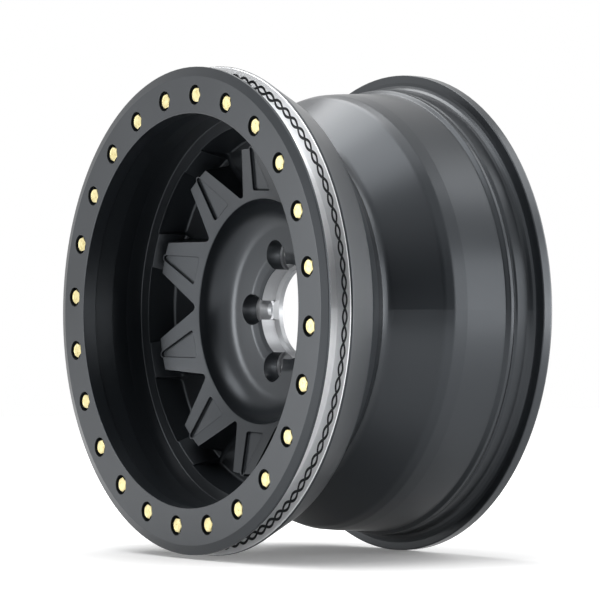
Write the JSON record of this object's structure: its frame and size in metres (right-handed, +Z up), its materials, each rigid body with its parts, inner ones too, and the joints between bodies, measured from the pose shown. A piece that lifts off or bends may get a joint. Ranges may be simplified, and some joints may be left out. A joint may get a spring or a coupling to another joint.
{
  "type": "beadlock wheel",
  "caption": "Cast off-road wheel with a deep front bowl, short recessed arms and a bolted beadlock ring that clamps the tyre's front bead.",
  "frame": {"origin": "middle of the wheel on its axis, halfway between the face of the ring and the edge of the rear flange", "axes": "+Y along the axle, from the outer face of the wheel towards the vehicle; +Z up"},
  "size_m": [0.4723, 0.2582, 0.4724],
  "materials": {
    "casting": "satin grey powder coat, with a bare turned bead face and hub bore",
    "ring": "satin grey powder coat",
    "bolt": "yellow zinc plating"
  },
  "bodies": {
    "root": {"wheel_casting": "casting", "beadlock_ring": "ring", "ring_bolts": "bolt"}
  },
  "joints": []
}
